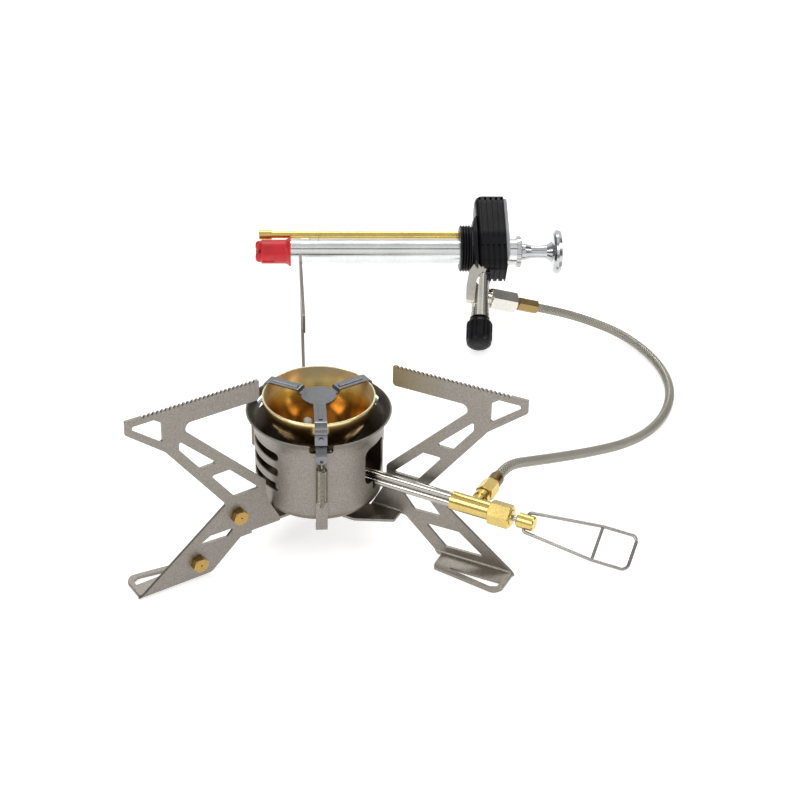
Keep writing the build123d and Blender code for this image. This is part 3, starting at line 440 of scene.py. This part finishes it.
def bowl_brass():
    """Spun brass: a pale rim that is a painted highlight, an inside darker towards the bottom
    with a pale band near its top that is a painted reflection, a brown outside.
    """
    material, tree, shader, _ = metal_nodes(
        "bowl_brass", (0.85, 0.62, 0.25), rough=(0.17, 0.26), contrast=0.05, grain=700, depth=0.01
    )
    radius, height = from_axis(tree)
    level = spread(tree, height, 0.0, 1.0, *(h * MM for h in BOWL_HEIGHTS))
    # inside: darker towards the bottom; the pale stops near the top are a painted reflection, and
    # the palest one at the rim a painted highlight
    inside = ramp(tree, level, [
        (0.0, (0.30, 0.10, 0.012)),
        (0.30, (0.44, 0.17, 0.025)),
        (0.50, (0.62, 0.36, 0.08)),
        (0.66, (0.86, 0.76, 0.40)),
        (0.95, (0.92, 0.86, 0.55)),
    ])
    outside = ramp(tree, level, [
        (0.0, (0.20, 0.11, 0.035)),
        (0.6, (0.42, 0.27, 0.10)),
        (0.93, (0.46, 0.31, 0.12)),
        # this pale top stop is a painted highlight on the rim
        (0.965, (0.95, 0.86, 0.50)),
    ])
    from_centre = tree.nodes.new("ShaderNodeCombineXYZ")
    feed(tree, radius, from_centre.inputs[0])
    feed(tree, maths(tree, "SUBTRACT", height, BOWL_CENTRE_Z * MM), from_centre.inputs[1])
    reach = length_of(tree, from_centre.outputs[0])
    skin = spread(tree, reach, 0.0, 1.0, *(r * MM for r in BOWL_SKIN_RADII))
    walls = blend_colours(tree, skin, inside, outside)
    patches = ramp(tree, noise(tree, BOWL_PATCHES), [(0.3, (0.82, 0.79, 0.76)), (0.7, grey(1))])
    mixed = blend_colours(tree, 1.0, walls, patches, "MULTIPLY")
    tree.links.new(mixed, shader.inputs["Base Color"])
    dulled = spread(tree, level, 1.0, 0.5, 0.45, 0.70)
    tree.links.new(maths(tree, "MAXIMUM", dulled, skin), shader.inputs["Metallic"])
    return material


FINISHES = {
    "blasted": metal("blasted_steel", STEEL, **BLASTED),
    "leg": leg_steel(),
    "cup": cup_steel(),
    "bowl": bowl_brass(),
    "polished": metal("polished_strip", (0.21, 0.215, 0.225), (0.15, 0.24), 0.06, 500),
    "tube": metal("drawn_tube", (0.48, 0.46, 0.42), (0.13, 0.22), 0.07, 1200, depth=0.01),
    "wire": metal("steel_wire", (0.36, 0.345, 0.32), (0.18, 0.28), 0.08, depth=0.01),
    "brass": metal("turned_brass", (0.70, 0.53, 0.18), (0.18, 0.30), 0.08, depth=0.01),
    "jet": metal("orange_brass", (0.50, 0.32, 0.10), (0.20, 0.32), 0.08, depth=0.01),
    "old": metal("dull_brass", (0.36, 0.25, 0.10), (0.20, 0.32), depth=0.01),
    "spring": metal("spring_steel", (0.36, 0.33, 0.27), (0.30, 0.40), 0.10, depth=0.01),
    "bronze": metal("dark_bronze", (0.20, 0.125, 0.05), (0.22, 0.35), depth=0.01),
    "braid": metal("woven_steel", (0.44, 0.415, 0.36), (0.30, 0.40), grain=2000, depth=0.01),
    "core": metal("hose_core", (0.035, 0.033, 0.03), (0.5, 0.6), grain=2000, depth=0.01),
    "aluminium": metal(
        "polished_aluminium", (0.80, 0.81, 0.81), (0.12, 0.20), 0.04, 260, (5, 1, 1), 0.004
    ),
    "bright": metal("bright_knob", (0.60, 0.61, 0.62), (0.14, 0.20), 0.03, depth=0.002),
    "nickel": metal("bright_nickel", (0.74, 0.71, 0.65), (0.10, 0.20), 0.06, 700, depth=0.01),
    "red": plastic("red_plastic", (0.52, 0.006, 0.012), (0.32, 0.45)),
    "black": plastic("black_plastic", (0.005, 0.005, 0.0062), (0.26, 0.40), gloss=0.18),
    "rubber": plastic("seal_rubber", (0.02, 0.02, 0.02), (0.55, 0.7)),
    "plate": plastic("pale_plate", (0.30, 0.31, 0.32), (0.35, 0.5)),
    "felt": plastic("white_felt", (0.92, 0.91, 0.89), (0.85, 0.95), grain=2600, depth=0.15),
}

SIDES = ("front", "right", "left")


def on_each_side(stem):
    """The names of a clip's piece on all three sides."""
    return [stem + "_" + side for side in SIDES]


NODE_FINISH = {
    "blasted": ["hub_spacer", "leg_left", "leg_rear"] + on_each_side("clip_hook"),
    "leg": ["leg_right"],
    "cup": ["burner_cup"],
    "bowl": ["flame_bowl"],
    "tube": ["mixing_tube", "vaporiser_loop", "hub_bolt", "fuel_tube_upper", "fuel_tube_lower",
             "needle_spindle", "valve_spindle"],
    "polished": ["flame_spreader"] + on_each_side("clip_strap") + on_each_side("clip_rivet"),
    "wire": ["wire_handle"],
    "spring": ["check_valve_spring"] + on_each_side("clip_spring"),
    "brass": ["jet_block", "burner_jet", "valve_body", "packing_nut", "handle_hub",
              "hose_nipple", "pickup_pipe", "pickup_filter", "piston"],
    "old": ["outlet_ferrule"],
    "jet": ["spare_jet_upper", "spare_jet_lower"],
    "bronze": ["hose_ferrule"],
    "core": ["fuel_hose"],
    "aluminium": ["pump_barrel", "spring_seat", "barrel_collar"],
    "bright": ["retaining_ring", "plunger_rod", "plunger_knob"],
    "nickel": ["valve_block", "outlet_nut"],
    "red": ["check_valve_cap"],
    "black": ["bottle_plug", "pump_head", "valve_knob"],
    "rubber": ["packing_seal", "check_valve_disc", "plug_o_ring", "piston_cup"],
    "plate": ["head_back_plate"],
    "felt": ["priming_pad"],
}


def give(obj, finish):
    """Gives an object one of the finishes and nothing else."""
    obj.data.materials.clear()
    obj.data.materials.append(FINISHES[finish])


for finish, names in NODE_FINISH.items():
    for name in names:
        give(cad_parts[name], finish)
give(hose, "core")
give(braid_mesh, "braid")

# ---------------------------------------------------------------- clip springs
WIRE_R = 0.35 * MM
WIRE_SIDES = 10
COIL_R = 3.05 * MM            # over the wire
COIL_STEPS = 20
COIL_PITCH = 0.80 * MM
LOOP_TOP = 4.4 * MM
LOOP_FOOT = 3.6 * MM
LOOP_POINTS = 15
LOOP_START = 20               # degrees
LOOP_STEP = 22


def wire_sweep(points, radius):
    """Vertices and faces of a round wire along a line."""
    vertices = []
    for p, a, b in zip(points, *carried_frames(points)):
        for k in range(WIRE_SIDES):
            angle = 2 * math.pi * k / WIRE_SIDES
            vertices.append(p + radius * (a * math.cos(angle) + b * math.sin(angle)))
    return vertices, tube_faces(len(points), WIRE_SIDES)


def hook_loop(size, middle, way):
    """The points of a spring's end loop, which starts on the side that way says."""
    radius = size / 2 - WIRE_R
    angles = [math.radians(LOOP_START + LOOP_STEP * k) for k in range(LOOP_POINTS)]
    return [(way * radius * math.sin(a), 0, middle - radius * math.cos(a)) for a in angles]


def spring_line(foot, top):
    """A tension spring's wire: a hook loop, close coils, and another hook loop."""
    body_low = foot + LOOP_FOOT
    body_high = top - LOOP_TOP
    steps = round((body_high - body_low) / COIL_PITCH) * COIL_STEPS
    radius = COIL_R - WIRE_R
    points = hook_loop(LOOP_FOOT, foot + LOOP_FOOT / 2, 1)
    for k in range(steps + 1):
        angle = 2 * math.pi * k / COIL_STEPS
        height = body_low + (body_high - body_low) * k / steps
        points.append((radius * math.cos(angle), radius * math.sin(angle), height))
    return points + hook_loop(LOOP_TOP, top - LOOP_TOP / 2, -1)


def clip_spring(side):
    """The coiled spring that pulls a strap down to its hook."""
    name = "clip_spring_" + side
    foot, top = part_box(name)
    middle = (foot + top) / 2
    azimuth = math.atan2(middle.y - BURNER.y, middle.x - BURNER.x)
    turned = Matrix.Rotation(azimuth, 3, "Z")
    shift = Vector((middle.x, middle.y, 0))
    placed = np.array([turned @ Vector(p) + shift for p in spring_line(foot.z, top.z)])
    spring = mesh_object("coil_spring_" + side, *wire_sweep(placed, WIRE_R))
    give(spring, "spring")
    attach(spring, "stove")
    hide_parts(name)


for side in SIDES:
    clip_spring(side)

# ---------------------------------------------------------------- wick
WICK_AZIMUTH = math.radians(117)
WICK_ANGLE = math.radians(31)  # from straight down, seen from the bowl's centre
WICK_SIDES = 24
WICK_PROFILE = [              # mm: radius, and distance from the bowl's centre
    (0.02, 28.0),
    (1.2, 28.1),
    (2.0, 28.4),
    (2.4, 29.0),
    (2.45, 30.2),
    (2.3, 31.2),
    (1.2, 31.6),
    (0.02, 31.7),
]


def wick():
    """A white plug set in a hole in the bowl's wall, where a pure white spot shows whose cause is
    not known.
    """
    down = Vector((
        math.sin(WICK_ANGLE) * math.cos(WICK_AZIMUTH),
        math.sin(WICK_ANGLE) * math.sin(WICK_AZIMUTH),
        -math.cos(WICK_ANGLE),
    ))
    side_one = down.orthogonal().normalized()
    side_two = down.cross(side_one)
    vertices = []
    for radius, along in WICK_PROFILE:
        for k in range(WICK_SIDES):
            angle = 2 * math.pi * k / WICK_SIDES
            spoke = side_one * math.cos(angle) + side_two * math.sin(angle)
            vertices.append(at(0, 0, BOWL_CENTRE_Z) + (down * along + spoke * radius) * MM)
    plug = mesh_object("bowl_wick", vertices, tube_faces(len(WICK_PROFILE), WICK_SIDES))
    give(plug, "felt")
    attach(plug, "stove")


wick()

# ---------------------------------------------------------------- barrel lines
BARREL_R = 8.7
LINE_R = 0.12
LINE_STEPS = 72
LINES_FROM_CAP = (6.6, 12.4)  # mm along the barrel


def barrel_lines():
    """Two fine lines turned round the barrel near its red cap."""
    cap_low, cap_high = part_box("check_valve_cap")
    collar_low, collar_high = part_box("barrel_collar")
    cap_middle = (cap_low + cap_high) / 2
    collar_middle = (collar_low + collar_high) / 2
    axis = collar_middle - cap_middle
    axis.z = 0
    axis.normalize()
    across = axis.cross(Vector((0, 0, 1))).normalized()
    upward = across.cross(axis)
    cap_end = (cap_high.x - collar_middle.x) / axis.x
    for number, offset in enumerate(LINES_FROM_CAP):
        centre = collar_middle + axis * (cap_end + offset * MM)
        ring = []
        for k in range(LINE_STEPS + 1):
            angle = 2 * math.pi * k / LINE_STEPS
            spoke = across * math.cos(angle) + upward * math.sin(angle)
            ring.append(centre + spoke * BARREL_R * MM)
        line = mesh_object("barrel_line_%d" % number, *wire_sweep(np.array(ring), LINE_R * MM))
        give(line, "core")
        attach(line, "stove")


barrel_lines()

# ---------------------------------------------------------------- studio
LIGHT_AIM = (0, 0, 0.05)
SOFTBOXES = [                 # name, place and size in metres, power in watts
    ("softbox_left", (-1.0, -0.7, 1.0), (0.7, 0.7), 7),
    ("softbox_right", (1.2, -0.2, 0.8), (0.4, 0.8), 4),
    ("softbox_top", (0.0, 0.9, 1.3), (1.0, 0.4), 6),
]
FLOOR_REACH = 30
FLOOR_DROP = 0.2 * MM
FLOOR_GLOW = 0.55
HEIGHT_BANDS = [              # height of a direction's unit vector, and brightness
    (0.0, 0.60), (0.12, 0.82), (0.70, 0.98), (0.76, 0.16), (0.83, 0.16), (0.88, 1), (1.0, 0.62),
]
SIDE_BANDS = [                # sideways part of the same vector, and brightness
    (0.0, 1), (0.58, 1), (0.76, 0.12), (0.93, 0.12), (1.0, 0.7),
]


def area_light(name, where, size, power):
    """A rectangular softbox that points at the stove."""
    lamp = bpy.data.lights.new(name, "AREA")
    lamp.shape = "RECTANGLE"
    lamp.size, lamp.size_y = size
    lamp.energy = power
    obj = link(bpy.data.objects.new(name, lamp))
    obj.location = where
    obj.rotation_mode = "QUATERNION"
    obj.rotation_quaternion = (Vector(LIGHT_AIM) - Vector(where)).to_track_quat("-Z", "Y")


def floor():
    """A wide white ground that glows a little, so that it stays white in the picture."""
    signs = ((-1, -1), (1, -1), (1, 1), (-1, 1))
    corners = [(x * FLOOR_REACH, y * FLOOR_REACH, 0) for x, y in signs]
    floor_mesh = mesh_object("floor", corners, [(0, 1, 2, 3)], False)
    floor_mesh.location.z = -FLOOR_DROP
    material, _, shader = nodes_of("floor_white", 0.0, 0.9)
    shader.inputs["Base Color"].default_value = (0.8, 0.8, 0.8, 1)
    shader.inputs["Emission Color"].default_value = (1, 1, 1, 1)
    shader.inputs["Emission Strength"].default_value = FLOOR_GLOW
    floor_mesh.data.materials.append(material)


def sky():
    """A bright soft room with darker bands above and at the sides, as polished metal shows it."""
    world = bpy.data.worlds.new("studio_room")
    bpy.context.scene.world = world
    world.use_nodes = True
    tree = world.node_tree
    where = tree.nodes.new("ShaderNodeTexCoord")
    split = tree.nodes.new("ShaderNodeSeparateXYZ")
    tree.links.new(where.outputs["Generated"], split.inputs[0])
    sideways = maths(tree, "ABSOLUTE", split.outputs["X"])
    by_height = ramp(tree, split.outputs["Z"], [(z, grey(v)) for z, v in HEIGHT_BANDS])
    by_side = ramp(tree, sideways, [(x, grey(v)) for x, v in SIDE_BANDS])
    colour = blend_colours(tree, 1.0, by_height, by_side, "MULTIPLY")
    background = tree.nodes["Background"]
    tree.links.new(colour, background.inputs["Color"])
    background.inputs["Strength"].default_value = 1.0


for box in SOFTBOXES:
    area_light(*box)
floor()
sky()
bpy.context.scene.view_settings.view_transform = "Standard"
